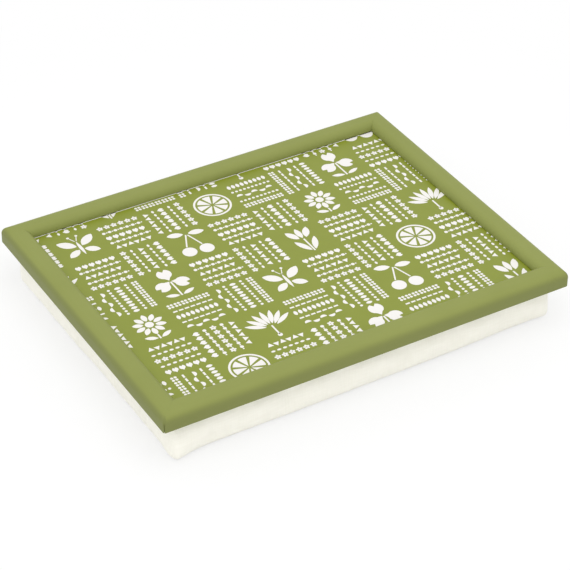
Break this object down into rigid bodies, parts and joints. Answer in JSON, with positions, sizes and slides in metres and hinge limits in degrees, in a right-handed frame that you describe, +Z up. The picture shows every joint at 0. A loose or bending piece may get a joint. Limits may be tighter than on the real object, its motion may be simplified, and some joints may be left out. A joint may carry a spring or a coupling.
{
  "type": "lap tray",
  "caption": "Rectangular lap tray: a framed, printed board with a raised rim on a soft bead-filled cushion that lifts off.",
  "frame": {"origin": "bottom centre of the cushion, on the plane that it rests on", "axes": "+X along the tray's long side, to the right; +Y from the front long side to the back one; +Z up"},
  "size_m": [0.44, 0.34, 0.06],
  "materials": {
    "painted_rail": "satin",
    "printed_laminate": "satin",
    "fibreboard": "matte",
    "backing_laminate": "satin",
    "steel": "satin",
    "hook_tape": "matte",
    "loop_tape": "matte",
    "cushion_cloth": "matte",
    "bead_fill": "matte"
  },
  "bodies": {
    "cushion": {"bead_fill": "bead_fill", "cushion_bottom_panel": "cushion_cloth", "cushion_side_band": "cushion_cloth", "cushion_top_panel": "cushion_cloth", "loop_strip_front_left": "loop_tape", "loop_strip_front_right": "loop_tape", "loop_strip_back_left": "loop_tape", "loop_strip_back_right": "loop_tape"},
    "tray": {"rail_front": "painted_rail", "rail_back": "painted_rail", "rail_left": "painted_rail", "rail_right": "painted_rail", "corner_v_nails": "steel", "framer_points": "steel", "printed_laminate": "printed_laminate", "tray_board": "fibreboard", "backing_laminate": "backing_laminate", "hook_strip_front_left": "hook_tape", "hook_strip_front_right": "hook_tape", "hook_strip_back_left": "hook_tape", "hook_strip_back_right": "hook_tape"}
  },
  "joints": [
    {"name": "tray_lift", "type": "slide", "parent": "cushion", "child": "tray", "axis": [0, 0, 1], "range_m": [0, 0.08]}
  ]
}
